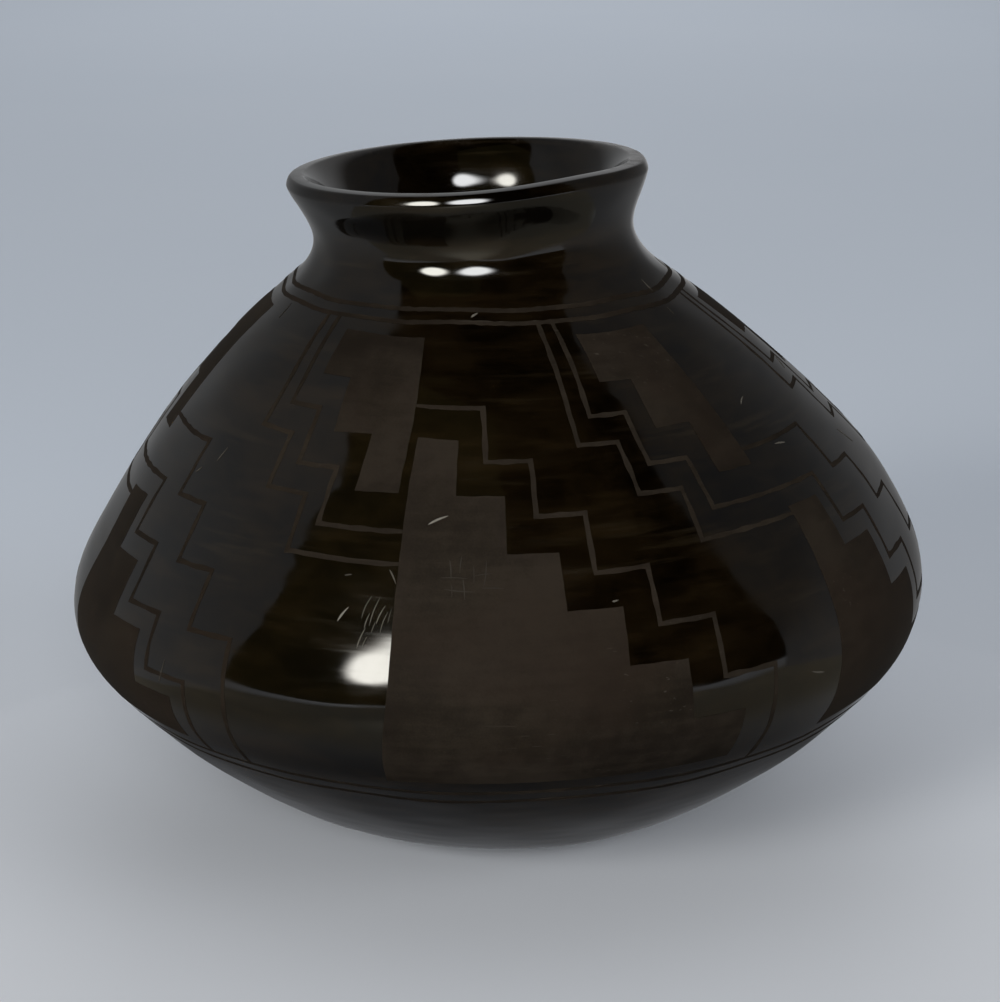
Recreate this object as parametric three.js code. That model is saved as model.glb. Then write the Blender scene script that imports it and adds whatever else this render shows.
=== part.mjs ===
// Blackware olla: a hand-built, smoke-fired clay jar with a low round belly,
// a sloping shoulder, a short waisted neck and a flared lip.
//
// The jar is the stack of pieces that a potter joins while the clay is wet: a
// slab pressed into a shallow dish for the bottom, then one clay coil after
// another, each pinched up into a course of wall and lapped over the inside of
// the course below it. Every course is a ring turned from its wall section, and
// the laps are bevelled, so two neighbours share one conical seam face.
//
// Units are millimetres, +Z is up, and the resting face lies on Z = 0.

import * as THREE from 'three';
import { NURBSCurve } from 'three/addons/curves/NURBSCurve.js';

// ---------------------------------------------------------------------------
// Driving dimensions
// ---------------------------------------------------------------------------

// Facets round the axis. A multiple of 4 puts a corner on each side.
const SEGMENTS = 56;

// Outer wall section from the edge of the resting face to the lip, as the
// control points (radius, height) of a cubic B-spline.
const OUTER_SECTION = [
  [30.0, 0.0], [35.45, 1.0], [45.1, 3.6], [59.35, 9.2], [72.6, 17.7],
  [85.6, 27.9], [96.0, 38.6], [107.8, 51.1], [108.75, 66.6], [100.9, 80.7],
  [92.75, 93.1], [82.6, 105.5], [72.25, 116.7], [60.15, 128.3], [48.15, 137.0],
  [34.9, 149.35], [44.3, 160.15], [44.65, 164.3],
];

// Wall thickness at heights on the outer face.
const WALL = [[0, 7.6], [20, 6.9], [60, 6.2], [110, 5.6], [150, 5.4], [165, 6.1]];

// Height of the inside floor on the axis.
const FLOOR_Z = 6.8;

// The lip is a flattened half round standing this far above the wall's end.
const LIP_RISE = 0.9;
const LIP_SQUARENESS = 3.0;
const LIP_STEPS = 10;

// Hand-built lean: how far the section's centre stands off the axis in X, and
// how much the right side stands higher than the left, at given heights.
const LEAN_Z = [0, 25, 42, 56, 68, 80, 92, 106, 120, 132, 144, 154, 166];
const LEAN_X = [0.374, -0.066, -0.196, -0.046, 0.054, 0.104, -0.046, -0.476, -1.406, -2.986, -4.896, -6.516, -7.636];
const TILT_Z = [0, 30, 60, 90, 120, 140, 165];
const TILT_DEG = [0, 0.4, 1.4, 1.95, -0.08, 0.59, 2.83];

// Heights on the outer face where one course ends and the next begins, and how
// far down the inside of the wall the upper course laps over the lower one.
const SEAM_Z = [18, 36, 54, 78, 98, 117, 134, 150];
const SEAM_LAP = 4.6;

// Longest step along the wall section between rows of corners.
const ROW_STEP = 6.4;

// ---------------------------------------------------------------------------
// Curves
// ---------------------------------------------------------------------------

function clampedKnots(degree, count) {
  const knots = [];
  for (let i = 0; i < degree; i++) knots.push(0);
  const spans = count - degree;
  for (let i = 0; i <= spans; i++) knots.push(i / spans);
  for (let i = 0; i < degree; i++) knots.push(1);
  return knots;
}

// Natural cubic spline through (x, y).
function naturalSpline(x, y) {
  const n = x.length;
  const m = new Array(n).fill(0);
  const c = new Array(n).fill(0);
  const d = new Array(n).fill(0);
  for (let i = 1; i < n - 1; i++) {
    const h0 = x[i] - x[i - 1];
    const h1 = x[i + 1] - x[i];
    const rhs = 6 * ((y[i + 1] - y[i]) / h1 - (y[i] - y[i - 1]) / h0);
    const den = 2 * (h0 + h1) - h0 * c[i - 1];
    c[i] = h1 / den;
    d[i] = (rhs - h0 * d[i - 1]) / den;
  }
  for (let i = n - 2; i > 0; i--) m[i] = d[i] - c[i] * m[i + 1];
  return (v) => {
    const t = Math.min(Math.max(v, x[0]), x[n - 1]);
    let i = 0;
    while (i < n - 2 && t > x[i + 1]) i++;
    const h = x[i + 1] - x[i];
    const a = (x[i + 1] - t) / h;
    const b = (t - x[i]) / h;
    return a * y[i] + b * y[i + 1] + ((a * a * a - a) * m[i] + (b * b * b - b) * m[i + 1]) * h * h / 6;
  };
}

const leanAt = naturalSpline(LEAN_Z, LEAN_X);
const tiltAt = naturalSpline(TILT_Z, TILT_DEG);

const section = new NURBSCurve(
  3,
  clampedKnots(3, OUTER_SECTION.length),
  OUTER_SECTION.map(([r, z]) => new THREE.Vector4(r, z, 0, 1)),
);
section.arcLengthDivisions = 4000;
const SECTION_LENGTH = section.getLength();

function wallAt(z) {
  for (let i = 0; i < WALL.length - 1; i++) {
    const [z0, t0] = WALL[i];
    const [z1, t1] = WALL[i + 1];
    if (z <= z1) {
      const f = THREE.MathUtils.smoothstep(z, z0, z1);
      return t0 + (t1 - t0) * f;
    }
  }
  return WALL[WALL.length - 1][1];
}

// Point on the outer face, s millimetres along the section.
function outerAt(s) {
  const p = section.getPointAt(THREE.MathUtils.clamp(s / SECTION_LENGTH, 0, 1));
  return new THREE.Vector2(p.x, p.y);
}

// The same place on the inner face.
function innerAt(s) {
  const u = THREE.MathUtils.clamp(s / SECTION_LENGTH, 0, 1);
  const p = section.getPointAt(u);
  const t = section.getTangentAt(u);
  const w = wallAt(p.y);
  return new THREE.Vector2(p.x - t.y * w, p.y + t.x * w);
}

// Distance along the section at which the outer face reaches a height.
function lengthAtHeight(z) {
  let lo = 0;
  let hi = SECTION_LENGTH;
  for (let i = 0; i < 50; i++) {
    const mid = (lo + hi) / 2;
    if (outerAt(mid).y < z) lo = mid; else hi = mid;
  }
  return (lo + hi) / 2;
}

function run(at, s0, s1) {
  const n = Math.max(2, Math.ceil(Math.abs(s1 - s0) / ROW_STEP));
  const pts = [];
  for (let i = 0; i <= n; i++) pts.push(at(s0 + (s1 - s0) * i / n));
  return pts;
}

// Half round over the end of the wall, from the outer corner to the inner one.
function lipPoints() {
  const a = outerAt(SECTION_LENGTH);
  const b = innerAt(SECTION_LENGTH);
  const mid = a.clone().add(b).multiplyScalar(0.5);
  const half = a.distanceTo(b) / 2;
  const across = a.clone().sub(b).normalize();
  const up = new THREE.Vector2(-across.y, across.x);
  const pts = [];
  for (let i = 1; i < LIP_STEPS; i++) {
    const f = Math.PI * i / LIP_STEPS;
    const cx = Math.sign(Math.cos(f)) * Math.abs(Math.cos(f)) ** (2 / LIP_SQUARENESS);
    const sy = Math.sin(f) ** (2 / LIP_SQUARENESS);
    pts.push(mid.clone().addScaledVector(across, half * cx).addScaledVector(up, LIP_RISE * sy));
  }
  return pts;
}

// ---------------------------------------------------------------------------
// Solids
// ---------------------------------------------------------------------------

// Turns a wall section round the axis, stands it on +Z and gives it the lean.
// The strip under `seamStrip` is the lower seam: its quads are split along the
// other diagonal, so that they match the quads of the course below.
function turn(points, seamStrip = -1) {
  const geometry = new THREE.LatheGeometry(points, SEGMENTS);
  if (seamStrip >= 0) {
    const index = geometry.getIndex();
    const rows = points.length;
    for (let i = 0; i < SEGMENTS; i++) {
      const at = 6 * (i * (rows - 1) + seamStrip);
      const a = seamStrip + i * rows;
      const b = a + rows;
      const c = b + 1;
      const d = a + 1;
      [a, b, c, a, c, d].forEach((v, k) => index.setX(at + k, v));
    }
  }
  geometry.rotateX(Math.PI / 2);
  const pos = geometry.getAttribute('position');
  for (let i = 0; i < pos.count; i++) {
    const x = pos.getX(i);
    const z = pos.getZ(i);
    pos.setX(i, x + leanAt(z));
    pos.setZ(i, z + Math.tan(THREE.MathUtils.degToRad(tiltAt(z))) * x);
  }
  geometry.computeVertexNormals();
  return geometry;
}

const seams = SEAM_Z.map(lengthAtHeight);

// Bottom slab: flat underneath, dished inside, up to the first seam.
function slabSection() {
  const top = seams[0];
  return [
    new THREE.Vector2(0, 0),
    new THREE.Vector2(OUTER_SECTION[0][0] / 2, 0),
    ...run(outerAt, 0, top),
    ...run(innerAt, top - SEAM_LAP, 0),
    new THREE.Vector2(innerAt(0).x * 0.5, FLOOR_Z),
    new THREE.Vector2(0, FLOOR_Z),
  ];
}

// One coil course, from its lower seam to its upper one.
function courseSection(lower, upper) {
  const pts = [
    ...run(outerAt, lower, upper),
    ...run(innerAt, upper - SEAM_LAP, lower - SEAM_LAP),
  ];
  pts.push(pts[0].clone());
  return pts;
}

// The last coil, which ends in the lip.
function rimSection(lower) {
  const pts = [
    ...run(outerAt, lower, SECTION_LENGTH),
    ...lipPoints(),
    ...run(innerAt, SECTION_LENGTH, lower - SEAM_LAP),
  ];
  pts.push(pts[0].clone());
  return pts;
}

function clay(color, roughness) {
  return new THREE.MeshStandardMaterial({ color, roughness, metalness: 0 });
}

const olla = new THREE.Group();
olla.name = 'blackware_olla';

function add(name, geometry, material) {
  const mesh = new THREE.Mesh(geometry, material);
  mesh.name = name;
  olla.add(mesh);
}

add('base_slab', turn(slabSection()), clay(0x17130f, 0.45));

const COURSES = [
  ['lower_wall_coil', 0x15120e, 0.22],
  ['under_belly_coil', 0x15120e, 0.2],
  ['belly_coil', 0x14110d, 0.18],
  ['lower_shoulder_coil', 0x14110d, 0.18],
  ['middle_shoulder_coil', 0x14110d, 0.18],
  ['upper_shoulder_coil', 0x14110d, 0.18],
  ['neck_coil', 0x14110d, 0.2],
];
COURSES.forEach(([name, color, roughness], i) => {
  const pts = courseSection(seams[i], seams[i + 1]);
  add(name, turn(pts, pts.length - 2), clay(color, roughness));
});

const rim = rimSection(seams[seams.length - 1]);
add('rim_coil', turn(rim, rim.length - 2), clay(0x191613, 0.24));

export default olla;
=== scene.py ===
import math

import bpy
import numpy as np
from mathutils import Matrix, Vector


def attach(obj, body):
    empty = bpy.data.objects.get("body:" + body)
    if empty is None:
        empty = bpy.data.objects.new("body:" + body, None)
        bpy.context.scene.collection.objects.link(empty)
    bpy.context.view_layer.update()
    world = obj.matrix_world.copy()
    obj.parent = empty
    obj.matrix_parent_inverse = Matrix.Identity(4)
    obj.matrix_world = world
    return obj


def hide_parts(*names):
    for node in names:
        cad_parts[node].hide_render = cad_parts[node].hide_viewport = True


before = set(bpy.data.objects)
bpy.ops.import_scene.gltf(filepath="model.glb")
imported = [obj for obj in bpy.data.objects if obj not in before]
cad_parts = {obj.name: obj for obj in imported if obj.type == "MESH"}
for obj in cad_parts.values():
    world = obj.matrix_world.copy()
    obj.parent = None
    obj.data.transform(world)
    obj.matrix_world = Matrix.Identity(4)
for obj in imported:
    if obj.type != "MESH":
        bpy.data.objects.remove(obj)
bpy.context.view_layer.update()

# ---------------------------------------------------------------------------
# The jar's shape, in millimetres: the same wall section, lean and seams as the
# CAD model, sampled finely and given the unevenness of hand building.
# ---------------------------------------------------------------------------

SECTION = np.array([
    [30.0, 0.0], [35.45, 1.0], [45.1, 3.6], [59.35, 9.2], [72.6, 17.7],
    [85.6, 27.9], [96.0, 38.6], [107.8, 51.1], [108.75, 66.6], [100.9, 80.7],
    [92.75, 93.1], [82.6, 105.5], [72.25, 116.7], [60.15, 128.3], [48.15, 137.0],
    [34.9, 149.35], [44.3, 160.15], [44.65, 164.3],
])
WALL = np.array([[0, 7.6], [20, 6.9], [60, 6.2], [110, 5.6], [150, 5.4], [165, 6.1]])
FLOOR_Z = 6.8
LEAN_Z = np.array([0, 25, 42, 56, 68, 80, 92, 106, 120, 132, 144, 154, 166.0])
LEAN_X = np.array([0.374, -0.066, -0.196, -0.046, 0.054, 0.104, -0.046, -0.476, -1.406, -2.986, -4.896, -6.516, -7.636])
TILT_Z = np.array([0, 30, 60, 90, 120, 140, 165.0])
TILT_DEG = np.array([0, 0.4, 1.4, 1.95, -0.08, 0.59, 2.83])
SEAM_Z = [18, 36, 54, 78, 98, 117, 134, 150]
SEAM_LAP = 4.6

COLUMNS = 384       # corners round the jar
ROW_MM = 1.05       # row spacing on the outside
INNER_ROW_MM = 1.7  # and on the inside


def bspline(u):
    """Cubic clamped B-spline through SECTION's control points."""
    u = np.clip(np.asarray(u, float), 0.0, 1.0)
    n = len(SECTION)
    knots = np.concatenate([[0] * 3, np.linspace(0, 1, n - 2), [1] * 3])
    k = np.clip(np.searchsorted(knots, u, side="right") - 1, 3, n - 1)
    d = [SECTION[k - 3 + j] for j in range(4)]
    for r in range(1, 4):
        for j in range(3, r - 1, -1):
            lo = knots[k - 3 + j]
            a = ((u - lo) / (knots[k + 1 + j - r] - lo))[..., None]
            d[j] = (1 - a) * d[j - 1] + a * d[j]
    return d[3]


_u = np.linspace(0, 1, 8001)
_p = bspline(_u)
_s = np.concatenate([[0], np.cumsum(np.linalg.norm(np.diff(_p, axis=0), axis=1))])
LENGTH = float(_s[-1])


def natural(x, y):
    """Natural cubic spline through (x, y), held flat in value beyond its ends."""
    n = len(x)
    h = np.diff(x)
    a = np.eye(n)
    b = np.zeros(n)
    for i in range(1, n - 1):
        a[i, i - 1:i + 2] = h[i - 1], 2 * (h[i - 1] + h[i]), h[i]
        b[i] = 6 * ((y[i + 1] - y[i]) / h[i] - (y[i] - y[i - 1]) / h[i - 1])
    m = np.linalg.solve(a, b)

    def at(v):
        v = np.clip(v, x[0], x[-1])
        i = np.clip(np.searchsorted(x, v) - 1, 0, n - 2)
        p, q = (x[i + 1] - v) / h[i], (v - x[i]) / h[i]
        return p * y[i] + q * y[i + 1] + ((p ** 3 - p) * m[i] + (q ** 3 - q) * m[i + 1]) * h[i] ** 2 / 6
    return at


lean_at, tilt_at = natural(LEAN_Z, LEAN_X), natural(TILT_Z, TILT_DEG)


def smooth(v, lo, hi):
    t = np.clip((v - lo) / (hi - lo), 0, 1)
    return t * t * (3 - 2 * t)


def wall_at(z):
    i = np.clip(np.searchsorted(WALL[:, 0], z) - 1, 0, len(WALL) - 2)
    f = smooth(z, WALL[i, 0], WALL[i + 1, 0])
    return WALL[i, 1] + (WALL[i + 1, 1] - WALL[i, 1]) * f


def section_at(s):
    """(point, tangent) of the section s millimetres along it."""
    s = np.asarray(s, float)
    e = 0.02
    p = bspline(np.interp(s, _s, _u))
    a, b = np.clip(s - e, 0, LENGTH), np.clip(s + e, 0, LENGTH)
    t = bspline(np.interp(b, _s, _u)) - bspline(np.interp(a, _s, _u))
    return p, t / np.linalg.norm(t, axis=-1, keepdims=True)


def length_at_height(z):
    return float(np.interp(z, _p[:, 1], _s))


class Waves:
    """A fixed sum of waves, periodic round the jar: smooth unevenness of a given size."""

    def __init__(self, seed, count, turns, lengths, rms):
        rng = np.random.default_rng(seed)
        self.m = rng.integers(turns[0], turns[1] + 1, count)
        self.k = 2 * np.pi / rng.uniform(lengths[0], lengths[1], count)
        self.p = rng.uniform(0, 2 * np.pi, count)
        self.q = rng.uniform(0, 2 * np.pi, count)
        self.a = rms * 2 / math.sqrt(count)

    def __call__(self, phi, s):
        total = np.zeros(np.broadcast(phi, s).shape)
        for m, k, p, q in zip(self.m, self.k, self.p, self.q):
            total = total + np.cos(m * phi + p) * np.cos(k * s + q)
        return self.a * total


SWELL = Waves(11, 10, (2, 6), (70, 220), 0.16)      # out of round, hand pinched
DENT = Waves(12, 24, (7, 20), (22, 60), 0.058)      # scraping flats
PINCH = Waves(16, 18, (4, 12), (14, 30), 0.105)     # finger pinches round the neck
STROKE = Waves(13, 40, (5, 26), (4.5, 11), 0.008)   # polishing strokes, long and level
INSIDE = Waves(14, 24, (3, 16), (9, 30), 0.22)      # finger and scraper marks inside
LIP_WAVE = Waves(15, 5, (2, 4), (400, 900), 0.05)   # the lip's edge isn't quite level
LIP_BUMP = 0.95                                     # and stands higher in one place


def unevenness(phi, s):
    fade = smooth(s, 3, 26)
    near_lip = 1 - 0.65 * smooth(s, 190, 228)
    neck = smooth(s, 193, 208) * (1 - 0.8 * smooth(s, LENGTH - 8, LENGTH - 2))
    return (SWELL(phi, s) + DENT(phi, s) + STROKE(phi, s)) * near_lip * fade + PINCH(phi, s) * neck


def stand(r, z, phi):
    """From section radius and height and angle (0 at the front) to the leaning jar, in metres."""
    x, y = r * np.sin(phi), -r * np.cos(phi)
    turn = np.mod(phi - 0.70 + np.pi, 2 * np.pi) - np.pi
    lift = smooth(z, 148, 165) * (LIP_WAVE(phi, z * 0) + LIP_BUMP * np.exp(-(turn / 0.47) ** 2) + 0.24 * (1 - np.cos(phi)))
    return np.stack([
        x + lean_at(z),
        y,
        z + np.tan(np.radians(tilt_at(z))) * x + lift,
    ], -1) * 0.001


def outer_rz(s, phi, off=0.0):
    p, t = section_at(s)
    d = unevenness(phi, s) + off
    return p[..., 0] + t[..., 1] * d, p[..., 1] - t[..., 0] * d


def inner_rz(s, phi):
    p, t = section_at(s)
    w = wall_at(p[..., 1])
    rough = 1 - 0.75 * smooth(p[..., 1], 140, 150)
    ridge = sum(0.28 * np.exp(-((s - (length_at_height(z) - SEAM_LAP)) / 1.3) ** 2) for z in SEAM_Z[:-1])
    d = w - (INSIDE(phi, s) * rough + ridge * rough) * smooth(s, 2, 20)
    return p[..., 0] - t[..., 1] * d, p[..., 1] + t[..., 0] * d


def outer(s, phi, off=0.0):
    r, z = outer_rz(s, phi, off)
    return stand(r, z, phi)


def inner(s, phi):
    r, z = inner_rz(s, phi)
    return stand(r, z, phi)


LIP_LOW = 1.9       # mm below the wall's end where the lip begins to round over
LIP_FALL = 0.5      # degrees by which the crest falls inwards
LIP_INNER = 19.5    # mm down the inside over which the flare rounds off


def lip_edge():
    """The lip's outer edge as offsets in mm: a soft bevel, a tight turn and the flat of the crest."""
    along = np.linspace(0, 5.9, 1181)
    up = np.interp(along, [0, 0.7, 2.1, 3.3, 5.9], [-17.6, 14, 27, 80, 90 + LIP_FALL])
    up = np.radians(np.convolve(np.pad(up, 24, mode="edge"), np.ones(49) / 49, "valid"))
    step = np.stack([-np.sin(up), np.cos(up)], 1)[1:] * along[1]
    return along / along[-1], np.concatenate([np.zeros((1, 2)), np.cumsum(step, axis=0)])


EDGE_AT, EDGE = lip_edge()


def lip(t, phi):
    """Over the end of the wall: t 0 is the outer face, 0.5 the crest and t 1 where the flared inside meets the neck's."""
    low = np.full(np.shape(phi), LENGTH - LIP_LOW)
    a = np.stack(outer_rz(low, phi), -1)
    b = np.stack(inner_rz(low + LIP_LOW - LIP_INNER, phi), -1)
    run = np.stack(inner_rz(low + LIP_LOW - LIP_INNER + 0.1, phi), -1) - b
    run = run / np.linalg.norm(run, axis=-1, keepdims=True)
    top = a + EDGE[-1]
    fall = np.array([-math.cos(math.radians(LIP_FALL)), -math.sin(math.radians(LIP_FALL))])
    t = np.asarray(t)[..., None]

    def bezier(p0, p1, p2, p3, f):
        return p0 * (1 - f) ** 3 + 3 * p1 * f * (1 - f) ** 2 + 3 * p2 * f * f * (1 - f) + p3 * f ** 3

    f = np.clip(t[..., 0] * 2, 0, 1)
    first = a + np.stack([np.interp(f, EDGE_AT, EDGE[:, 0]), np.interp(f, EDGE_AT, EDGE[:, 1])], -1)
    second = bezier(top, top + fall * 1.0, b + run * 11.0 - np.array([3.5, 0.0]), b, np.clip(t * 2 - 1, 0, 1))
    p = np.where(t < 0.5, first, second)
    return stand(p[..., 0], p[..., 1], phi)


def joined(a, b):
    """Straight seam face between two curves: t 0 is a(phi), 1 is b(phi)."""
    return lambda t, phi: a(phi) * (1 - t)[..., None] + b(phi) * t[..., None]


# ---------------------------------------------------------------------------
# Meshes
# ---------------------------------------------------------------------------

PHI = np.linspace(-np.pi, np.pi, COLUMNS, endpoint=False)


def normals_of(f, rows, step):
    """Outward normals of a strip, from the strip's own surface."""
    t, phi = np.meshgrid(rows, PHI, indexing="ij")
    lo, hi = rows.min(), rows.max()
    a = f(np.clip(t + step, lo, hi), phi) - f(np.clip(t - step, lo, hi), phi)
    b = f(t, phi + 2e-3) - f(t, phi - 2e-3)
    n = np.cross(b, a)
    return n / np.maximum(np.linalg.norm(n, axis=-1, keepdims=True), 1e-15)


def ring_piece(name, strips, poles=(None, None)):
    """A closed ring, or a closed dish with a pole at each end, from strips that follow each other round its section.
    A strip is (function of (t, phi), its rows, material index, arc values, the step its normals are taken over)."""
    rows, normals, arcs = [], [], []
    faces_at = []
    for k, (f, t, mat, arc, step) in enumerate(strips):
        g = f(*np.meshgrid(t, PHI, indexing="ij"))
        n = normals_of(f, t, step)
        start = len(rows) - 1 if k else 0
        if k:
            rows += list(g[1:])
            arcs += list(arc[1:])
        else:
            rows += list(g)
            arcs += list(arc)
        normals.append(n)
        faces_at.append((start, len(t), mat))
    closed = poles[0] is None
    if closed:
        rows, arcs = rows[:-1], arcs[:-1]
    m = len(rows)
    verts = np.concatenate(rows)
    arc_values = np.repeat(np.array(arcs), COLUMNS)
    if not closed:
        verts = np.concatenate([verts, np.array(poles, float)])
        arc_values = np.concatenate([arc_values, [arcs[0], arcs[-1]]])
    col = np.arange(COLUMNS)
    nxt = (col + 1) % COLUMNS
    quads, loop_normals, mats, uvs = [], [], [], []
    total = sum(n - 1 for _, n, _ in faces_at)
    done = 0
    for (start, n, mat), nor in zip(faces_at, normals):
        for j in range(n - 1):
            a, b = start + j, (start + j + 1) % m
            quads.append(np.stack([a * COLUMNS + col, a * COLUMNS + nxt, b * COLUMNS + nxt, b * COLUMNS + col], 1))
            loop_normals.append(np.stack([nor[j][col], nor[j][nxt], nor[j + 1][nxt], nor[j + 1][col]], 1))
            mats.append(np.full(COLUMNS, mat))
            uvs.append((done, done + 1))
            done += 1
    quads = np.concatenate(quads)
    loop_normals = np.concatenate(loop_normals).reshape(-1, 3)
    mats = np.concatenate(mats)
    faces = quads.tolist()
    loops = [loop_normals]
    if not closed:
        base = m * COLUMNS
        for p, row, flip, nor in ((base, 0, True, normals[0][0]), (base + 1, m - 1, False, normals[-1][-1])):
            for c in range(COLUMNS):
                d = (c + 1) % COLUMNS
                tri = [p, row * COLUMNS + d, row * COLUMNS + c] if flip else [p, row * COLUMNS + c, row * COLUMNS + d]
                faces.append(tri)
                mean = nor.mean(0)
                mean = mean / np.linalg.norm(mean)
                loops.append(np.stack([mean, nor[d] if flip else nor[c], nor[c] if flip else nor[d]]))
        mats = np.concatenate([mats, np.full(COLUMNS, faces_at[0][2]), np.full(COLUMNS, faces_at[-1][2])])
    me = bpy.data.meshes.new(name)
    me.from_pydata(verts.tolist(), [], faces)
    me.polygons.foreach_set("material_index", mats.astype(np.int32))
    me.polygons.foreach_set("use_smooth", np.ones(len(faces), bool))
    me.attributes.new("arc", "FLOAT", "POINT").data.foreach_set("value", (arc_values * 0.001).astype(np.float32))
    me.update()
    me.normals_split_custom_set(np.concatenate(loops).tolist())
    ob = bpy.data.objects.new(name, me)
    bpy.context.scene.collection.objects.link(ob)
    return ob


def steps(a, b, size):
    return np.linspace(a, b, max(2, int(math.ceil(abs(b - a) / size)) + 1))


def at_outer(s):
    return lambda phi: outer(np.full(np.shape(phi), s), phi)


def at_inner(s):
    return lambda phi: inner(np.full(np.shape(phi), s), phi)


OUT, IN = 0, 1
INNER_ARC = 400.0   # inside arcs are numbered apart from outside ones
seams = [length_at_height(z) for z in SEAM_Z]


def seam_strip(a, b, arc):
    t = np.linspace(0, 1, 4)
    return (joined(a, b), t, IN, np.full(4, arc), 1e-3)


def course(name, lower, upper):
    out = steps(lower, upper, ROW_MM)
    ins = steps(upper - SEAM_LAP, lower - SEAM_LAP, INNER_ROW_MM)
    return ring_piece(name, [
        (outer, out, OUT, out, 0.05),
        seam_strip(at_outer(upper), at_inner(upper - SEAM_LAP), INNER_ARC + upper),
        (lambda t, phi: inner(-t, phi), -ins, IN, INNER_ARC + ins, 0.05),
        seam_strip(at_inner(lower - SEAM_LAP), at_outer(lower), INNER_ARC + lower),
    ])


def rim(name, lower):
    out = steps(lower, LENGTH - LIP_LOW, ROW_MM * 0.7)
    f = np.linspace(0, 1, 721)
    ring = lip(f, np.zeros_like(f))
    length = np.linalg.norm(np.diff(ring, axis=0), axis=1)
    along = np.concatenate([[0], np.cumsum(length)])
    dense = np.concatenate([[0], np.cumsum(length * np.where(f[1:] <= 0.5, 2.6, 1.0))])
    t = np.interp(np.linspace(0, dense[-1], 57), dense, f)
    ins = steps(LENGTH - LIP_INNER, lower - SEAM_LAP, ROW_MM)
    return ring_piece(name, [
        (outer, out, OUT, out, 0.05),
        (lip, t, OUT, LENGTH + np.interp(t, f, along) * 1000, 1e-3),
        (lambda t, phi: inner(-t, phi), -ins, IN, INNER_ARC + ins, 0.05),
        seam_strip(at_inner(lower - SEAM_LAP), at_outer(lower), INNER_ARC + lower),
    ])


def slab(name, top):
    def under(t, phi):
        return stand(SECTION[0, 0] * t, np.zeros(np.shape(t)), phi)

    rb, zb = inner_rz(np.array(0.0), np.array(0.0))

    def floor(t, phi):
        r0, z0 = inner_rz(np.zeros(np.shape(t)), phi)
        f = smooth(t, 0, 1)
        return stand(r0 * (1 - t), z0 + (FLOOR_Z - z0) * f, phi)

    out = steps(0, top, ROW_MM)
    ins = steps(top - SEAM_LAP, 0, INNER_ROW_MM)
    flat = np.linspace(0.04, 1, 22)
    mid = np.linspace(0, 0.96, 20)
    return ring_piece(name, [
        (under, flat, OUT, -30 + 30 * flat, 0.01),
        (outer, out, OUT, out, 0.05),
        seam_strip(at_outer(top), at_inner(top - SEAM_LAP), INNER_ARC + top),
        (lambda t, phi: inner(-t, phi), -ins, IN, INNER_ARC + ins, 0.05),
        (floor, mid, IN, INNER_ARC - 30 * mid, 0.01),
    ], poles=(stand(np.array(0.0), np.array(0.0), np.array(0.0)), stand(np.array(0.0), np.array(FLOOR_Z), np.array(0.0))))


# ---------------------------------------------------------------------------
# Painted slip: thin closed films that lie on the burnished wall
# ---------------------------------------------------------------------------

FILM_UP, FILM_DOWN = 0.055, -0.035   # mm above and into the wall
WOBBLE_A = Waves(21, 16, (3, 13), (30, 80), 0.26)
WOBBLE_B = Waves(22, 16, (3, 13), (30, 80), 0.24)
BRUSH_A = Waves(23, 30, (50, 120), (5, 9), 0.04)
BRUSH_B = Waves(24, 30, (50, 120), (5, 9), 0.04)


def hand(phi, s):
    """Where a brush really put a point meant for (phi, s)."""
    r = section_at(s)[0][..., 0]
    return phi + (WOBBLE_A(phi, s) + BRUSH_A(phi, s)) / r, s + WOBBLE_B(phi, s) + BRUSH_B(phi, s)


def wall_normal(phi, s):
    a = outer(s + 0.05, phi) - outer(s - 0.05, phi)
    b = outer(s, phi + 1e-3) - outer(s, phi - 1e-3)
    n = np.cross(b, a)
    return n / np.linalg.norm(n, axis=-1, keepdims=True)


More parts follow.
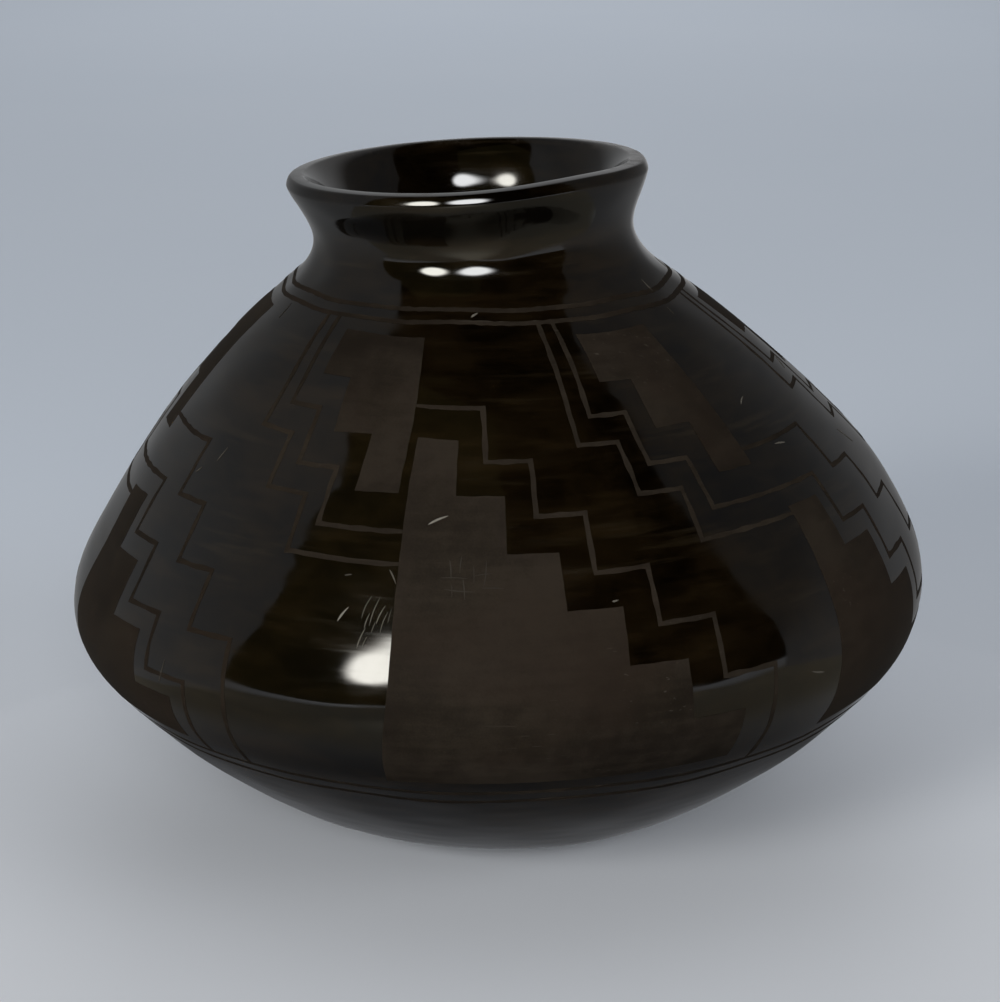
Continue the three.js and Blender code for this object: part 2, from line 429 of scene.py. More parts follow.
class Film:
    def __init__(self, up=FILM_UP, brushed=True):
        self.top, self.quads, self.tones = [], [], []
        self.count = 0
        self.up, self.brushed = up, brushed

    def add(self, phi, s, quads, tone=0.0):
        """A patch: points on the wall and quads that face out."""
        self.top.append(np.stack([phi, s], 1))
        self.quads.append(np.asarray(quads) + self.count)
        self.tones.append(np.full(len(phi), tone))
        self.count += len(phi)

    def finish(self, name):
        p = np.concatenate(self.top)
        quads = np.concatenate(self.quads)
        phi, s = hand(p[:, 0], p[:, 1]) if self.brushed else (p[:, 0], p[:, 1])
        up, down = outer(s, phi, self.up), outer(s, phi, FILM_DOWN)
        normal = wall_normal(phi, s)
        n = len(phi)
        e = np.concatenate([quads[:, [0, 1]], quads[:, [1, 2]], quads[:, [2, 3]], quads[:, [3, 0]]])
        have = set(map(tuple, e.tolist()))
        rim_edges = np.array([x for x in e.tolist() if (x[1], x[0]) not in have])
        sides = np.stack([rim_edges[:, 1], rim_edges[:, 0], rim_edges[:, 0] + n, rim_edges[:, 1] + n], 1)
        faces = np.concatenate([quads, quads[:, ::-1] + n, sides])
        co = np.concatenate([up, down])
        d = co[sides]
        flat = np.cross(d[:, 1] - d[:, 0], d[:, 3] - d[:, 0])
        flat = flat / np.maximum(np.linalg.norm(flat, axis=1, keepdims=True), 1e-15)
        loops = np.concatenate([
            normal[quads].reshape(-1, 3),
            -normal[quads[:, ::-1]].reshape(-1, 3),
            np.repeat(flat, 4, axis=0),
        ])
        me = bpy.data.meshes.new(name)
        me.from_pydata(co.tolist(), [], faces.tolist())
        me.polygons.foreach_set("use_smooth", np.ones(len(faces), bool))
        me.attributes.new("arc", "FLOAT", "POINT").data.foreach_set(
            "value", (np.concatenate([s, s]) * 0.001).astype(np.float32))
        me.attributes.new("tone", "FLOAT", "POINT").data.foreach_set(
            "value", np.tile(np.concatenate(self.tones), 2).astype(np.float32))
        me.update()
        me.normals_split_custom_set(loops.tolist())
        ob = bpy.data.objects.new(name, me)
        bpy.context.scene.collection.objects.link(ob)
        return ob

    def line(self, points, width, closed=False, step=1.6):
        """A brush line through (phi, s) points, with mitred corners."""
        pts = np.array(points, float)
        if closed:
            n = int(round(2 * np.pi * section_at(pts[0, 1])[0][0] / step))
            phi = np.linspace(-np.pi, np.pi, n, endpoint=False)
            path = np.stack([phi, np.full(n, pts[0, 1])], 1)
            side = np.tile([0.0, 1.0], (n, 1))
        else:
            path, side = [], []
            ways = []
            for a, b in zip(pts[:-1], pts[1:]):
                r = section_at((a[1] + b[1]) / 2)[0][0]
                d = np.array([(b[0] - a[0]) * r, b[1] - a[1]])
                ways.append((d / np.linalg.norm(d), np.linalg.norm(d)))
            for i, (a, b) in enumerate(zip(pts[:-1], pts[1:])):
                (t, length) = ways[i]
                n = np.array([-t[1], t[0]])
                before = n if i == 0 else np.array([-ways[i - 1][0][1], ways[i - 1][0][0]])
                mitre = (n + before) / max(0.3, 1 + float(n @ before))
                k = max(2, int(length / step))
                path += [a + (b - a) * j / k for j in range(k)]
                side += [mitre] + [n] * (k - 1)
            path.append(pts[-1])
            side.append(n)
            path, side = np.array(path), np.array(side)
        r = section_at(path[:, 1])[0][:, 0]
        w = width / 2 * (1 + 0.09 * BRUSH_A(path[:, 0], path[:, 1] * 0.7) / 0.04)
        if not closed:
            k = np.arange(len(path))
            w = w * np.clip(0.7 + 0.15 * np.minimum(k, k[::-1]), 0, 1)
        left = path + np.stack([side[:, 0] * w / r, side[:, 1] * w], 1)
        right = path - np.stack([side[:, 0] * w / r, side[:, 1] * w], 1)
        n = len(path)
        p = np.concatenate([right, left])
        i = np.arange(n if closed else n - 1)
        j = (i + 1) % n
        self.add(p[:, 0], p[:, 1], np.stack([i, j, j + n, i + n], 1))

    def patch(self, phi0, phi1, s0, s1, cells, sub):
        """Filled cells of a grid over (phi0..phi1, s0..s1); cells[row, col] is true where painted."""
        rows, cols = cells.shape
        phi = np.linspace(phi0, phi1, cols * sub + 1)
        s = np.linspace(s0, s1, rows * sub + 1)
        fine = np.kron(cells, np.ones((sub, sub), bool)).astype(bool)
        use = np.zeros((rows * sub + 1, cols * sub + 1), bool)
        use[:-1, :-1] |= fine
        use[1:, :-1] |= fine
        use[:-1, 1:] |= fine
        use[1:, 1:] |= fine
        number = -np.ones(use.shape, int)
        number[use] = np.arange(use.sum())
        jj, ii = np.nonzero(fine)
        quads = np.stack([number[jj, ii], number[jj, ii + 1], number[jj + 1, ii + 1], number[jj + 1, ii]], 1)
        sg, pg = np.meshgrid(s, phi, indexing="ij")
        self.add(pg[use], sg[use], quads)


    def sliver(self, a, b, width, tone, bend=0.0):
        """A scratch from a to b, widest near its middle, running out to a point at both ends."""
        a, b = np.array(a, float), np.array(b, float)
        f = np.linspace(0, 1, 9)
        path = a + (b - a) * f[:, None]
        r = section_at(path[:, 1])[0][:, 0]
        d = np.array([(b[0] - a[0]) * r[4], b[1] - a[1]])
        n = np.array([-d[1], d[0]]) / np.linalg.norm(d)
        w = width / 2 * (0.16 + 0.84 * np.sin(np.pi * f ** 0.8) ** 0.8)
        path = path + np.stack([n[0] / r, np.full(9, n[1])], 1) * (bend * np.sin(np.pi * f))[:, None]
        side = np.stack([n[0] * w / r, n[1] * w], 1)
        p = np.concatenate([path - side, path + side])
        i = np.arange(8)
        self.add(p[:, 0], p[:, 1], np.stack([i, i + 1, i + 10, i + 9], 1), tone)


UNITS = 6
BAND_LO, BAND_HI = 87.0, 197.0
TURN = math.radians(-14.0)
GRID = 8


def stairs(count, d=0.0):
    """Corners of a flight of steps, from the lower right up to the left, stood off by d of a step.
    It starts at the ring line beyond the flight's foot and ends at the edge of the next flight."""
    path = [(count + d, -0.30)]
    for j in range(1, count):
        path += [(count - j + 1 + d, j + d), (count - j + d, j + d)]
    return path + [(1 + d, count + d), (-0.20, count + d)]


def painted():
    solid, lines = Film(), Film()
    unit = 2 * math.pi / UNITS
    rise = (BAND_HI - BAND_LO) / GRID

    def terrace(count):
        cells = np.zeros((GRID, GRID), bool)
        for row in range(count):
            cells[row, :count - row] = True
        return cells

    for k in range(UNITS):
        left = TURN + k * unit
        gap = 0.10 * unit / GRID

        def at(x, y):
            return (left + gap + x * (unit - 2 * gap) / GRID, BAND_LO + y * rise)

        (p0, s0), (p1, s1) = at(0, 0), at(GRID, GRID)
        # broad and narrow terraces rise in turn from the lower lines, small ones hang from the upper lines
        solid.patch(p0, p1, s0, s1, terrace(4 if k % 2 else 6), 8)
        solid.patch(p0, p1, s0, s1, terrace(3)[::-1, ::-1], 8)
        # thin stepped lines follow both
        for count, d in ((4, 0.38), (4, 1.3)) if k % 2 else ((6, 0.62),):
            lines.line([at(*q) for q in stairs(count, d)], 1.15)
        lines.line([at(GRID - x, GRID - y) for x, y in stairs(3, 0.62)], 1.15)
        lines.line([at(GRID - x, GRID - y) for x, y in stairs(3, 1.15)], 1.15)
    for s in (77.6, 82.2, 201.4, 205.2):
        lines.line([(0.0, s)], 1.25, closed=True)
    return solid.finish("painted_terraces"), lines.finish("painted_lines")


# Nicks and scratches: angle from the front in degrees and mm up the wall of both ends, width, paleness, bend
MARKS = [
    (-9.86, 148.98, -7.00, 151.13, 0.50, 0.95, 0.20),
    (-2.57, 203.22, -0.57, 204.55, 0.50, 0.60, 0.05),
    (-20.43, 126.08, -19.29, 129.40, 0.46, 1.00, 0.15),
    (-17.30, 127.05, -16.43, 132.22, 0.22, 0.30, 0.35),
    (-16.75, 124.90, -16.32, 128.40, 0.26, 0.42, 0.15),
    (-16.14, 125.59, -15.29, 131.99, 0.24, 0.36, 0.30),
    (-15.72, 124.20, -15.40, 126.60, 0.20, 0.28, 0.05),
    (-15.29, 126.05, -14.43, 130.23, 0.27, 0.46, 0.20),
    (-14.62, 124.13, -13.97, 128.90, 0.22, 0.33, 0.25),
    (-13.80, 126.40, -13.55, 129.60, 0.18, 0.22, 0.05),
    (-17.29, 120.44, -16.57, 125.09, 0.28, 0.50, 0.20),
    (-16.62, 120.90, -16.20, 123.20, 0.20, 0.36, 0.05),
    (-14.57, 138.36, -13.43, 135.21, 0.34, 0.34, 0.10),
    (-20.71, 136.37, -19.71, 136.70, 0.34, 0.20, 0.00),
    (14.71, 129.40, 15.57, 129.57, 0.40, 0.45, 0.00),
    (-6.43, 141.01, -6.10, 136.60, 0.24, 0.10, 0.10),
    (-6.02, 135.40, -5.86, 132.39, 0.20, 0.07, 0.05),
    (-4.80, 141.84, -4.95, 137.90, 0.22, 0.08, -0.10),
    (-4.52, 136.60, -4.20, 131.89, 0.26, 0.11, 0.10),
    (-3.14, 139.80, -3.05, 135.30, 0.20, 0.06, 0.05),
    (-1.43, 140.85, -1.80, 134.60, 0.22, 0.07, 0.20),
    (-7.57, 136.87, -3.90, 136.70, 0.22, 0.07, 0.15),
    (-3.10, 137.30, -0.60, 137.75, 0.20, 0.05, 0.10),
    (-6.90, 134.31, -2.90, 133.70, 0.24, 0.08, -0.15),
    (-2.00, 134.50, 0.90, 134.30, 0.20, 0.05, 0.10),
]


def worn():
    """The nicks above, and the few of the same kind on the rest of the jar."""
    film = Film(up=0.075, brushed=False)
    for p0, s0, p1, s1, width, tone, bend in MARKS:
        film.sliver((math.radians(p0), s0), (math.radians(p1), s1), width, tone, bend)
    rng = np.random.default_rng(31)
    for _ in range(34):
        phi, s = rng.uniform(math.radians(40), math.radians(320)), rng.uniform(72, 208)
        way, length = rng.uniform(0, math.pi), rng.uniform(2.0, 7.0)
        r = section_at(s)[0][0]
        end = (phi + math.cos(way) * length / r, s + math.sin(way) * length)
        film.sliver((phi, s), end, rng.uniform(0.26, 0.46), rng.uniform(0.06, 0.55), rng.uniform(-0.2, 0.2))
    return film.finish("worn_marks")


# ---------------------------------------------------------------------------
# Materials
# ---------------------------------------------------------------------------

class Nodes:
    """Short names for making shader nodes."""

    def __init__(self, name):
        self.material = bpy.data.materials.new(name)
        self.material.use_nodes = True
        self.tree = self.material.node_tree
        self.shader = next(n for n in self.tree.nodes if n.type == "BSDF_PRINCIPLED")

    def new(self, kind, **settings):
        n = self.tree.nodes.new(kind)
        for k, v in settings.items():
            setattr(n, k, v)
        return n

    def put(self, socket, value):
        if hasattr(value, "is_linked"):
            self.tree.links.new(value, socket)
        elif isinstance(value, (tuple, list)) and len(value) == 3 and socket.type == "RGBA":
            socket.default_value = (*value, 1.0)
        else:
            socket.default_value = value

    def math(self, op, a, b=None, c=None, clamp=False):
        n = self.new("ShaderNodeMath", operation=op, use_clamp=clamp)
        for i, v in enumerate((a, b, c)):
            if v is not None:
                self.put(n.inputs[i], v)
        return n.outputs[0]

    def add(self, a, b):
        return self.math("ADD", a, b)

    def mul(self, a, b):
        return self.math("MULTIPLY", a, b)

    def ramp(self, value, lo, hi, to_lo=0.0, to_hi=1.0, smoothly=True):
        n = self.new("ShaderNodeMapRange", interpolation_type="SMOOTHSTEP" if smoothly else "LINEAR")
        for i, v in enumerate((value, lo, hi, to_lo, to_hi)):
            self.put(n.inputs[i], v)
        return n.outputs[0]

    def mix(self, factor, a, b):
        n = self.new("ShaderNodeMix", data_type="RGBA")
        self.put(n.inputs[0], factor)
        self.put(n.inputs[6], a)
        self.put(n.inputs[7], b)
        return n.outputs[2]

    def noise(self, vector, scale, detail=2.0, rough=0.5, distortion=0.0):
        n = self.new("ShaderNodeTexNoise")
        self.put(n.inputs["Vector"], vector)
        self.put(n.inputs["Scale"], scale)
        self.put(n.inputs["Detail"], detail)
        self.put(n.inputs["Roughness"], rough)
        self.put(n.inputs["Distortion"], distortion)
        return n.outputs[0]

    def place(self):
        return self.new("ShaderNodeTexCoord").outputs["Object"]

    def level(self, across, along):
        """Coordinates that vary slowly round the jar and fast up its wall."""
        xyz = self.new("ShaderNodeSeparateXYZ")
        self.put(xyz.inputs[0], self.place())
        arc = self.new("ShaderNodeAttribute", attribute_name="arc")
        n = self.new("ShaderNodeCombineXYZ")
        self.put(n.inputs[0], self.mul(xyz.outputs[0], across))
        self.put(n.inputs[1], self.mul(xyz.outputs[1], across))
        self.put(n.inputs[2], self.mul(arc.outputs["Fac"], along))
        return n.outputs[0]

    def turned(self, angles, scale):
        n = self.new("ShaderNodeMapping")
        self.put(n.inputs["Vector"], self.place())
        n.inputs["Rotation"].default_value = [math.radians(a) for a in angles]
        n.inputs["Scale"].default_value = scale
        return n.outputs[0]

    def hairlines(self, cut):
        """Sparse fine scratches in a few directions."""
        total = None
        for angles, scale in (((0, 28, 12), (22, 1500, 1500)), ((0, -52, -20), (28, 1700, 1700)), ((20, 75, 40), (34, 1600, 1600))):
            line = self.ramp(self.noise(self.turned(angles, scale), 1.0, 1.0), cut, cut + 0.03)
            total = line if total is None else self.math("MAXIMUM", total, line)
        patch = self.ramp(self.noise(self.place(), 26.0, 1.0), 0.52, 0.64)
        return self.mul(total, patch)

    def specks(self, scale, radius, share):
        """Tiny round spots in a few of the cells of a lattice."""
        n = self.new("ShaderNodeTexVoronoi", feature="F1")
        self.put(n.inputs["Vector"], self.place())
        self.put(n.inputs["Scale"], scale)
        dot = self.ramp(n.outputs["Distance"], radius, radius * 0.55)
        pick = self.new("ShaderNodeSeparateColor")
        self.put(pick.inputs[0], n.outputs["Color"])
        return self.mul(dot, self.math("LESS_THAN", pick.outputs[0], share))

    def bump(self, height, distance, normal=None, strength=1.0):
        n = self.new("ShaderNodeBump")
        n.inputs["Strength"].default_value = strength
        n.inputs["Distance"].default_value = distance
        self.put(n.inputs["Height"], height)
        if normal is not None:
            self.put(n.inputs["Normal"], normal)
        return n.outputs[0]

    def set(self, **values):
        for k, v in values.items():
            self.put(self.shader.inputs[k.replace("_", " ")], v)


def burnished():
    m = Nodes("burnished_blackware")
    arc = m.new("ShaderNodeAttribute", attribute_name="arc").outputs["Fac"]
    cloud = m.noise(m.place(), 16.0, 4.0, 0.6, 0.6)
    blotch = m.noise(m.level(46.0, 80.0), 1.0, 4.0, 0.62, 0.8)
    fine = m.noise(m.place(), 110.0, 3.0, 0.6)
    stroke = m.noise(m.level(30.0, 170.0), 1.0, 3.0, 0.55)
    streak = m.noise(m.level(42.0, 900.0), 1.0, 3.0, 0.6)
    smear = m.mul(m.ramp(m.noise(m.level(34.0, 420.0), 1.0, 3.0, 0.6), 0.50, 0.74),
                  m.ramp(m.noise(m.level(22.0, 70.0), 1.0, 2.0), 0.45, 0.64))
    speck = m.specks(105.0, 0.022, 0.03)
    tone = m.add(m.add(m.mul(cloud, 0.4), m.mul(blotch, 0.4)), m.mul(fine, 0.2))
    colour = m.mix(m.ramp(tone, 0.38, 0.62), (0.0006, 0.0003, 0.0001), (0.0045, 0.0027, 0.0009))
    colour = m.mix(m.mul(m.ramp(stroke, 0.48, 0.72), m.ramp(cloud, 0.36, 0.62, 0.15, 0.75)), colour, (0.0090, 0.0054, 0.0020))
    colour = m.mix(m.mul(smear, 0.50), colour, (0.0125, 0.0086, 0.0040))
    # painted shade: the neck under the lip's overhang is made blackest in colour, standing in for the lip's shadow
    # there
    painted_lip_shade = m.mul(m.ramp(arc, LENGTH * 0.001 - 0.0125, LENGTH * 0.001 - 0.0090), m.ramp(arc, LENGTH * 0.001 - 0.0024, LENGTH * 0.001 - 0.0040))
    colour = m.mix(m.mul(painted_lip_shade, 0.85), colour, (0.0003, 0.0002, 0.0001))
    colour = m.mix(speck, colour, (0.10, 0.093, 0.080))
    rough = m.add(0.058, m.mul(m.ramp(stroke, 0.40, 0.74), 0.05))
    rough = m.add(rough, m.mul(m.ramp(streak, 0.45, 0.75), 0.04))
    rough = m.add(rough, m.mul(m.ramp(blotch, 0.48, 0.72), 0.06))
    rough = m.add(rough, m.mul(speck, 0.3))
    rough = m.add(rough, m.mul(smear, 0.10))
    # rubbed where it is handled and where it stands: the lip's crest and the resting ring
    rub_noise = m.noise(m.place(), 240.0, 4.0, 0.65)
    crest = m.mul(m.ramp(arc, LENGTH * 0.001 + 0.0020, LENGTH * 0.001 + 0.0034), m.ramp(arc, LENGTH * 0.001 + 0.0090, LENGTH * 0.001 + 0.0065))
    crest = m.mul(crest, m.ramp(m.add(m.mul(rub_noise, 0.5), m.mul(cloud, 0.5)), 0.44, 0.62))
    ring = m.mul(m.ramp(arc, -0.0150, -0.0020), m.ramp(arc, 0.0060, 0.0010))
    ring = m.mul(ring, m.ramp(rub_noise, 0.40, 0.62))
    under = m.mul(m.ramp(arc, 0.0030, -0.0010), 0.5)
    rub = m.math("MAXIMUM", m.math("MAXIMUM", m.mul(crest, 0.55), ring), under)
    colour = m.mix(m.mul(rub, 0.8), colour, m.mix(rub_noise, (0.012, 0.0085, 0.0058), (0.036, 0.028, 0.021)))
    rough = m.add(rough, m.mul(rub, 0.38))
    height = m.add(m.mul(streak, 0.5), m.mul(stroke, 0.9))
    height = m.add(height, m.mul(m.mul(rub, rub_noise), 1.2))
    m.set(Base_Color=colour, Roughness=rough, IOR=1.52, Normal=m.bump(height, 0.000006))
    return m.material


def inside():
    m = Nodes("scraped_inside")
    xyz = m.new("ShaderNodeSeparateXYZ")
    m.put(xyz.inputs[0], m.place())
    cloud = m.noise(m.place(), 22.0, 3.0)
    grain = m.noise(m.place(), 900.0, 3.0, 0.65)
    scrape = m.noise(m.level(30.0, 420.0), 1.0, 3.0, 0.6)
    edge = m.add(xyz.outputs[2], m.mul(m.math("SUBTRACT", cloud, 0.5), 0.012))
    polished = m.ramp(edge, 0.1375, 0.1465)
    matte = m.mix(m.ramp(cloud, 0.35, 0.68), (0.008, 0.0067, 0.0050), (0.020, 0.0165, 0.0125))
    colour = m.mix(polished, matte, m.mix(m.ramp(cloud, 0.4, 0.65), (0.0050, 0.0034, 0.0014), (0.0092, 0.0070, 0.0030)))
    rough_matte = m.add(0.62, m.mul(grain, 0.2))
    rough_polished = m.add(0.12, m.mul(m.ramp(scrape, 0.38, 0.75), 0.10))
    rough = m.add(m.mul(rough_polished, polished), m.mul(rough_matte, m.math("SUBTRACT", 1.0, polished)))
    raw = m.math("SUBTRACT", 1.0, polished)
    height = m.add(m.mul(scrape, m.add(0.12, m.mul(raw, 1.6))), m.mul(grain, m.mul(raw, 1.1)))
    m.set(Base_Color=colour, Roughness=rough, IOR=1.5, Normal=m.bump(height, 0.00006))
    return m.material


def matte_slip():
    m = Nodes("matte_slip")
    cloud = m.noise(m.place(), 34.0, 4.0, 0.6)
    grain = m.noise(m.place(), 1900.0, 3.0, 0.65)
    brush = m.noise(m.level(60.0, 480.0), 1.0, 3.0, 0.6)
    scratch = m.hairlines(0.735)
    speck = m.specks(150.0, 0.034, 0.06)
    dab = m.noise(m.place(), 240.0, 3.0, 0.65)
    tone = m.add(m.add(m.mul(cloud, 0.42), m.mul(brush, 0.2)), m.add(m.mul(dab, 0.2), m.mul(grain, 0.18)))
    colour = m.mix(m.ramp(tone, 0.39, 0.61), (0.0068, 0.0049, 0.0033), (0.0164, 0.0124, 0.0086))
    red = m.mul(m.ramp(m.noise(m.place(), 20.0, 3.0, 0.6, 0.5), 0.48, 0.68), 0.5)
    colour = m.mix(red, colour, (0.0138, 0.0090, 0.0058))
    colour = m.mix(m.mul(scratch, 0.5), colour, (0.055, 0.047, 0.038))
    colour = m.mix(speck, colour, (0.12, 0.11, 0.095))
    rough = m.add(0.60, m.mul(m.ramp(tone, 0.3, 0.7), 0.16))
    height = m.add(m.mul(grain, 0.8), m.mul(brush, 0.6))
    m.set(Base_Color=colour, Roughness=rough, IOR=1.15, Normal=m.bump(height, 0.000022))
    return m.material


def bared_clay():
    """Scratches through the slip: paler, dry clay, more or less of it."""
    m = Nodes("bared_clay")
    tone = m.new("ShaderNodeAttribute", attribute_name="tone").outputs["Fac"]
    grain = m.noise(m.place(), 1400.0, 3.0, 0.65)
    colour = m.mix(m.mul(tone, m.ramp(grain, 0.2, 0.75, 0.72, 1.0)), (0.0095, 0.0074, 0.0050), (0.150, 0.138, 0.116))
    m.set(Base_Color=colour, Roughness=m.add(0.55, m.mul(grain, 0.2)), IOR=1.2, Normal=m.bump(grain, 0.00002))
    return m.material


# ---------------------------------------------------------------------------
# The jar
# ---------------------------------------------------------------------------

BURNISHED, INSIDE_CLAY, MATTE, BARE = burnished(), inside(), matte_slip(), bared_clay()

NAMES = ["lower_wall_coil", "under_belly_coil", "belly_coil", "lower_shoulder_coil",
         "middle_shoulder_coil", "upper_shoulder_coil", "neck_coil"]
jar = {"base_slab": slab("base_slab_clay", seams[0])}
for i, node in enumerate(NAMES):
    jar[node] = course(node + "_clay", seams[i], seams[i + 1])
jar["rim_coil"] = rim("rim_coil_clay", seams[-1])

for node, ob in jar.items():
    ob.data.materials.append(BURNISHED)
    ob.data.materials.append(INSIDE_CLAY)
    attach(ob, "root")
    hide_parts(node)

for ob, material in [(ob, MATTE) for ob in painted()] + [(worn(), BARE)]:
    ob.data.materials.append(material)
    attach(ob, "root")

# ---------------------------------------------------------------------------
# Floor, light and camera
# ---------------------------------------------------------------------------

scene = bpy.context.scene
scene.view_settings.view_transform = "Standard"
scene.view_settings.look = "None"


def plane(name, corners, material):
    me = bpy.data.meshes.new(name)
    me.from_pydata([tuple(c) for c in corners], [], [tuple(range(len(corners)))])
    me.materials.append(material)
    ob = bpy.data.objects.new(name, me)
    scene.collection.objects.link(ob)
    return ob


def glow(name, colour, strength):
    mat = bpy.data.materials.new(name)
    mat.use_nodes = True
    t = mat.node_tree
    t.nodes.clear()
    e = t.nodes.new("ShaderNodeEmission")
    e.inputs[0].default_value = (*colour, 1)
    e.inputs[1].default_value = strength
    o = t.nodes.new("ShaderNodeOutputMaterial")
    t.links.new(e.outputs[0], o.inputs[0])
    return mat


def seen_only_in_gloss(ob):
    ob.visible_camera = ob.visible_diffuse = ob.visible_transmission = False
    ob.visible_volume_scatter = ob.visible_shadow = False
    ob.visible_glossy = True


floor_mat = Nodes("pale_floor")
floor_xyz = floor_mat.new("ShaderNodeSeparateXYZ")
floor_mat.put(floor_xyz.inputs[0], floor_mat.place())
haze = floor_mat.noise(floor_mat.place(), 3.0, 3.0, 0.5)
near_far = floor_mat.mix(floor_mat.ramp(floor_xyz.outputs[1], -0.15, 0.35), (0.625, 0.648, 0.690), (0.565, 0.620, 0.700))
floor_mat.set(Base_Color=floor_mat.mix(floor_mat.mul(haze, 0.16), near_far, (0.72, 0.74, 0.78)), Roughness=0.75)
plane("floor", [(-6, -6, -0.0001), (6, -6, -0.0001), (6, 6, -0.0001), (-6, 6, -0.0001)], floor_mat.material)

def card(name, corners, material):
    ob = plane(name, corners, material)
    seen_only_in_gloss(ob)
    return ob


# pale walls that meet behind the jar, for it to reflect; the camera doesn't see them
CORNER = (0.008, 0.228)
def emitting(m, colour, level, cover=None):
    """Turns a material into a glow of the given level, clear where it doesn't cover."""
    t = m.tree
    t.nodes.remove(m.shader)
    e = m.new("ShaderNodeEmission")
    m.put(e.inputs[0], colour)
    m.put(e.inputs[1], level)
    out = e.outputs[0]
    if cover is not None:
        clear, mix = m.new("ShaderNodeBsdfTransparent"), m.new("ShaderNodeMixShader")
        m.put(mix.inputs[0], cover)
        m.put(mix.inputs[1], clear.outputs[0])
        m.put(mix.inputs[2], out)
        out = mix.outputs[0]
    m.put(next(n for n in t.nodes if n.type == "OUTPUT_MATERIAL").inputs[0], out)
    return m.material


def reflected_wall(name, colour, low, high, dim):
    """A pale wall that dims upwards, dimmest some way out from the corner and brightest in it."""
    m = Nodes(name)
    xyz = m.new("ShaderNodeSeparateXYZ")
    m.put(xyz.inputs[0], m.place())
    out = m.math("ABSOLUTE", m.math("SUBTRACT", xyz.outputs[0], CORNER[0]))
    level = m.mul(m.ramp(xyz.outputs[2], 0.08, 0.24, low, high), m.ramp(out, 0.14, 0.24, dim, 1.0))
    return emitting(m, colour, m.math("MAXIMUM", level, m.ramp(out, 0.055, 0.125, 0.42, 0.0)))


left_end = (CORNER[0] - 0.652 * 0.52, CORNER[1] - 0.758 * 0.52)
right_end = (CORNER[0] + 0.745 * 0.63, CORNER[1] - 0.666 * 0.63)
for name, end, high, glowing in (
    ("wall_left", left_end, 0.47, reflected_wall("reflected_wall_left", (0.96, 0.98, 1.0), 0.31, 0.26, 0.72)),
    ("wall_right", right_end, 0.60, reflected_wall("reflected_wall_right", (0.97, 0.98, 1.0), 0.23, 0.12, 0.85)),
):
    card(name, [(*CORNER, 0), (*end, 0), (*end, high), (*CORNER, high)], glowing)


def front_floor():
    """What the lower wall mirrors in front of the jar: dim, brighter in the middle and further off."""
    m = Nodes("reflected_front")
    xyz = m.new("ShaderNodeSeparateXYZ")
    m.put(xyz.inputs[0], m.place())
    x, y = xyz.outputs[0], xyz.outputs[1]
    side = m.math("ABSOLUTE", m.add(x, 0.02))
    away = m.math("SQRT", m.add(m.mul(x, x), m.mul(y, y)))
    level = m.add(m.ramp(away, 0.050, 0.095, 0.15, 0.055), m.ramp(away, 0.09, 0.15, 0.0, 0.15))
    level = m.add(level, m.mul(m.ramp(away, 0.12, 0.40, 0.0, 0.78), m.ramp(side, 0.02, 0.15, 1.0, 0.10)))
    cover = m.mul(m.ramp(y, 0.07, 0.0), m.mul(m.ramp(side, 0.72, 0.45), m.ramp(away, 0.036, 0.044)))
    return emitting(m, m.mix(m.ramp(away, 0.09, 0.20), (0.97, 1.0, 1.06), (1.0, 0.94, 0.76)), level, cover)


card("front_floor", [(-0.8, -1.6, 0.0004), (0.8, -1.6, 0.0004), (0.8, 0.08, 0.0004), (-0.8, 0.08, 0.0004)], front_floor())


def around(az, el, dist, z=0.09):
    a, e = math.radians(az), math.radians(el)
    return np.array([math.sin(a) * math.cos(e) * dist, -math.cos(a) * math.cos(e) * dist, z + math.sin(e) * dist])


def lamp_card(name, az0, az1, el0, el1, colour, strength, dist=0.95):
    c = [around(az0, el0, dist), around(az1, el0, dist), around(az1, el1, dist), around(az0, el1, dist)]
    card(name, c, glow(name, colour, strength))


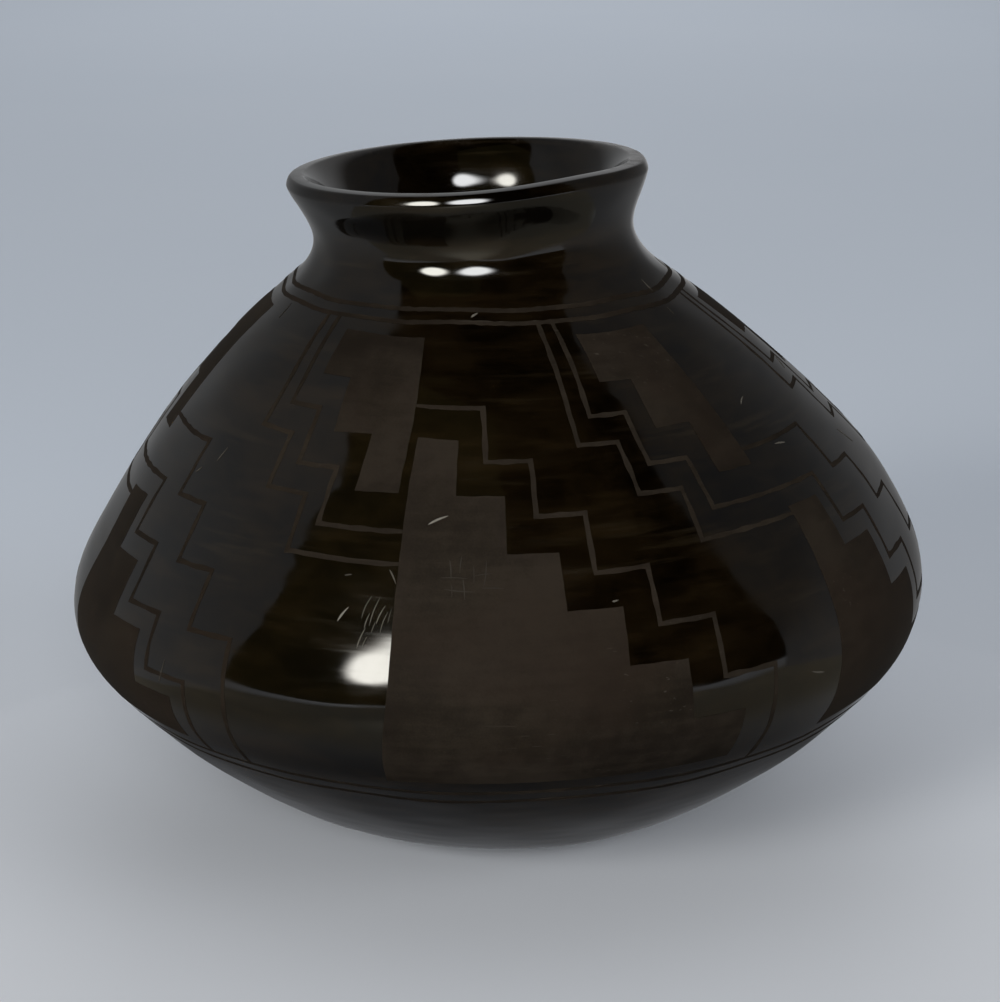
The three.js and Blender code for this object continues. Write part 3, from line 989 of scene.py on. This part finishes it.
def lamp_disc(name, az, el, half_az, half_el, soft, colour, strength, dist=0.95):
    """A round lamp that fades towards its edge, facing the jar."""
    m = Nodes(name)
    far = m.new("ShaderNodeVectorMath", operation="LENGTH")
    m.put(far.inputs[0], m.place())
    bright = m.ramp(far.outputs["Value"], soft, 1.0, 1.0, 0.0)
    f = np.linspace(0, 2 * np.pi, 64, endpoint=False)
    ob = card(name, [(math.cos(v), math.sin(v), 0.0) for v in f], emitting(m, colour, m.mul(bright, strength), bright))
    centre = Vector(around(az, el, dist))
    ob.location = centre
    ob.rotation_mode = "QUATERNION"
    ob.rotation_quaternion = (Vector((0, 0, 0.09)) - centre).to_track_quat("Z", "Y")
    wide, high = (dist * math.tan(math.radians(v)) for v in (half_az * math.cos(math.radians(el)), half_el))
    ob.scale = (wide, high, 1.0)


lamp_disc("lamp_left_face", -30.0, 25.0, 12.5, 14.0, 0.55, (1.0, 0.98, 0.90), 20.5)
lamp_disc("lamp_front_face", -1.5, 30.0, 17.5, 14.0, 0.50, (0.98, 0.99, 1.0), 18.5)
lamp_card("room_left", -72, 2, -2, 70, (1.0, 0.86, 0.35), 0.055, 1.6)


def area(name, place, aim, size, power, colour=(1, 1, 1), shape="SQUARE"):
    data = bpy.data.lights.new(name, "AREA")
    data.shape, data.size, data.energy, data.color = shape, size, power, colour
    ob = bpy.data.objects.new(name, data)
    ob.location = place
    ob.rotation_mode = "QUATERNION"
    ob.rotation_quaternion = (Vector(aim) - Vector(place)).to_track_quat("-Z", "Y")
    ob.visible_glossy = False
    ob.visible_camera = False
    scene.collection.objects.link(ob)
    return ob


area("lamp_left", around(-36, 21, 3.0), (0, 0, 0.05), 0.9, 47.0, (1.0, 0.985, 0.95))
area("lamp_front", around(4, 20, 3.0), (0, 0, 0.05), 1.0, 42.0, (0.98, 0.99, 1.0))
area("fill_right", around(64, 18, 3.0), (0, 0, 0.05), 1.4, 24.0, (0.98, 0.99, 1.0))
area("soft_top", (0.0, 0.9, 3.0), (0, 0.9, 0), 5.0, 22.0, (0.97, 0.98, 1.0))
area("back_floor", (0.0, 2.4, 1.4), (0, 1.8, 0), 1.5, 11.0, (0.97, 0.985, 1.0))

world = bpy.data.worlds.new("pale_room")
world.use_nodes = True
bg = next(n for n in world.node_tree.nodes if n.type == "BACKGROUND")
bg.inputs[0].default_value = (0.93, 0.96, 1.0, 1)
bg.inputs[1].default_value = 0.19
scene.world = world
world.cycles_visibility.glossy = False

cam_data = bpy.data.cameras.new("camera")
cam_data.sensor_width = 36.0
cam_data.lens = 2454.5 / 1002 * 36.0
cam = bpy.data.objects.new("camera", cam_data)
cam.location = (0.000634, -0.600, 0.2599)
cam.rotation_euler = (math.radians(90 - 16.761), 0, 0)
scene.collection.objects.link(cam)
scene.camera = cam
